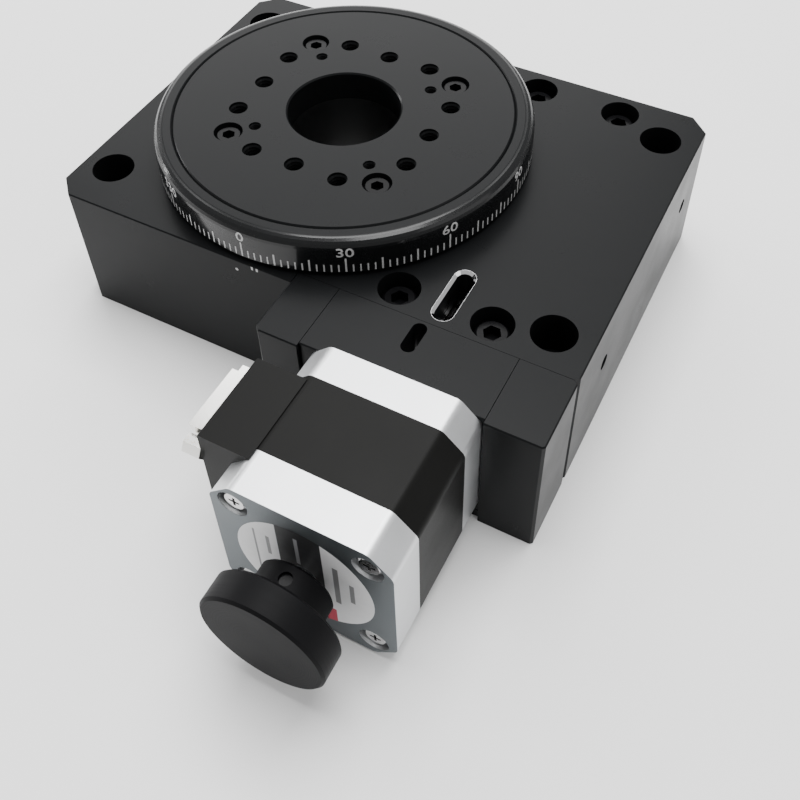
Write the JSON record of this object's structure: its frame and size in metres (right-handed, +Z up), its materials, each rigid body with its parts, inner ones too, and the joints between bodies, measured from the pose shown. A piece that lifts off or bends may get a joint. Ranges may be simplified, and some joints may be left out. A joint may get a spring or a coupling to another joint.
{
  "type": "motorised rotation stage",
  "caption": "Worm-driven rotation stage with a graduated round table on a block base, a stepping motor with a rear hand knob and a subminiature connector.",
  "frame": {"origin": "on the table's axis, at the mouth of the aperture in the underside of the base", "axes": "+Z up along the table's axis, +Y from the motor towards the far side of the base, +X towards the side that holds the worm"},
  "size_m": [0.144, 0.174, 0.0505],
  "materials": {
    "anodised_black": "satin black anodised",
    "motor_cap": "fine cast, satin",
    "motor_black": "satin black",
    "knob_black": "matt black anodised",
    "screw_black": "blackened steel, oiled",
    "screw_steel": "zinc plated",
    "bearing_steel": "ground",
    "machined_steel": "turned",
    "worm_steel": "ground",
    "rotor_steel": "laminated",
    "wheel_bronze": "hobbed bronze",
    "coupling_aluminium": "bare turned",
    "connector_nickel": "nickel plated",
    "connector_plastic": "moulded",
    "sensor_plastic": "board",
    "contact_gold": "gold plated"
  },
  "bodies": {
    "base": {"base_block": "anodised_black", "front_frame": "anodised_black", "front_frame_screws": "screw_steel", "bottom_cover": "anodised_black", "bottom_cover_screws": "screw_steel", "worm_carrier": "anodised_black", "carrier_screws": "screw_black", "outer_race": "bearing_steel", "bearing_rollers": "bearing_steel", "bearing_clamp_ring": "machined_steel", "clamp_ring_screws": "screw_steel", "worm_bearing_outer_rings": "bearing_steel", "bearing_nut": "machined_steel", "home_sensor": "sensor_plastic", "motor_front_cap": "motor_cap", "motor_stator": "motor_black", "motor_rear_cap": "motor_cap", "motor_screws": "screw_steel", "connector_box": "motor_black", "connector_shell": "connector_nickel", "connector_insulator": "connector_plastic", "connector_pins": "contact_gold", "connector_posts": "connector_nickel"},
    "table": {"table_plate": "anodised_black", "scale_ring": "anodised_black", "table_screws": "screw_black", "table_hub": "machined_steel", "inner_race": "bearing_steel", "race_spacer": "machined_steel", "worm_wheel": "wheel_bronze", "wheel_screws": "screw_steel", "home_magnet": "connector_nickel"},
    "worm": {"worm_shaft": "worm_steel", "worm_bearing_inner_rings": "bearing_steel", "shaft_coupling": "coupling_aluminium", "coupling_screws": "screw_black", "motor_shaft": "worm_steel", "motor_rotor": "rotor_steel", "knob": "knob_black", "knob_set_screw": "screw_black"}
  },
  "joints": [
    {"name": "table_rotation", "type": "hinge", "parent": "base", "child": "table", "pos_m": [0, 0, 0.033], "axis": [0, 0, 1], "continuous": true},
    {"name": "worm_rotation", "type": "hinge", "parent": "base", "child": "worm", "pos_m": [0.05, -0.05, 0.022], "axis": [0, 1, 0], "continuous": true}
  ],
  "couplings": [
    {"joint": "worm_rotation", "follows": "table_rotation", "ratio": -90}
  ]
}
